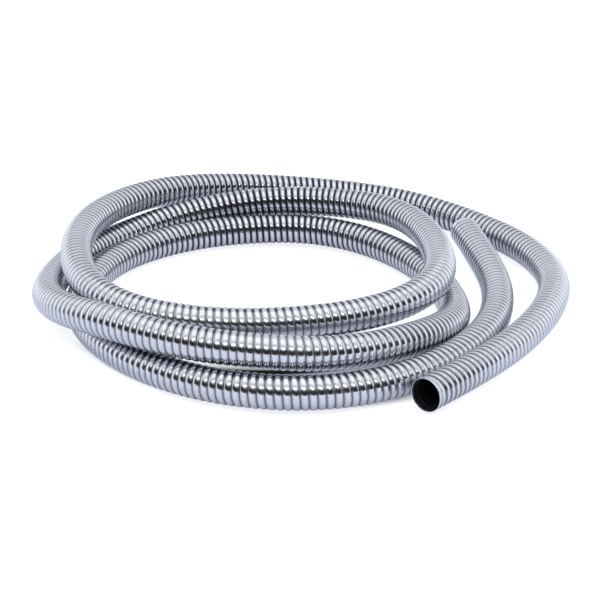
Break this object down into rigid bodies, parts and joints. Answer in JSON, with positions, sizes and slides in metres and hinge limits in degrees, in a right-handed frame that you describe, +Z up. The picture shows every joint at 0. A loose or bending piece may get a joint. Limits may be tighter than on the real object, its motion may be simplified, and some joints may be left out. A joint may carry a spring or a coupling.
{
  "type": "flexible metal wire loom",
  "caption": "Ribbed flexible chrome-plated steel tube, open at both ends, lying in a loose coil; sheathes and protects wires or hoses.",
  "frame": {"origin": "on the floor under the middle of the coil's box", "axes": "+X to the right as seen from the side where the near end lies, +Y away from that side, +Z up"},
  "size_m": [0.2326, 0.2344, 0.031],
  "materials": {
    "chrome_steel": "bright chrome plate on ribbed steel strip"
  },
  "bodies": {
    "root": {"wire_loom": "chrome_steel"}
  },
  "joints": []
}
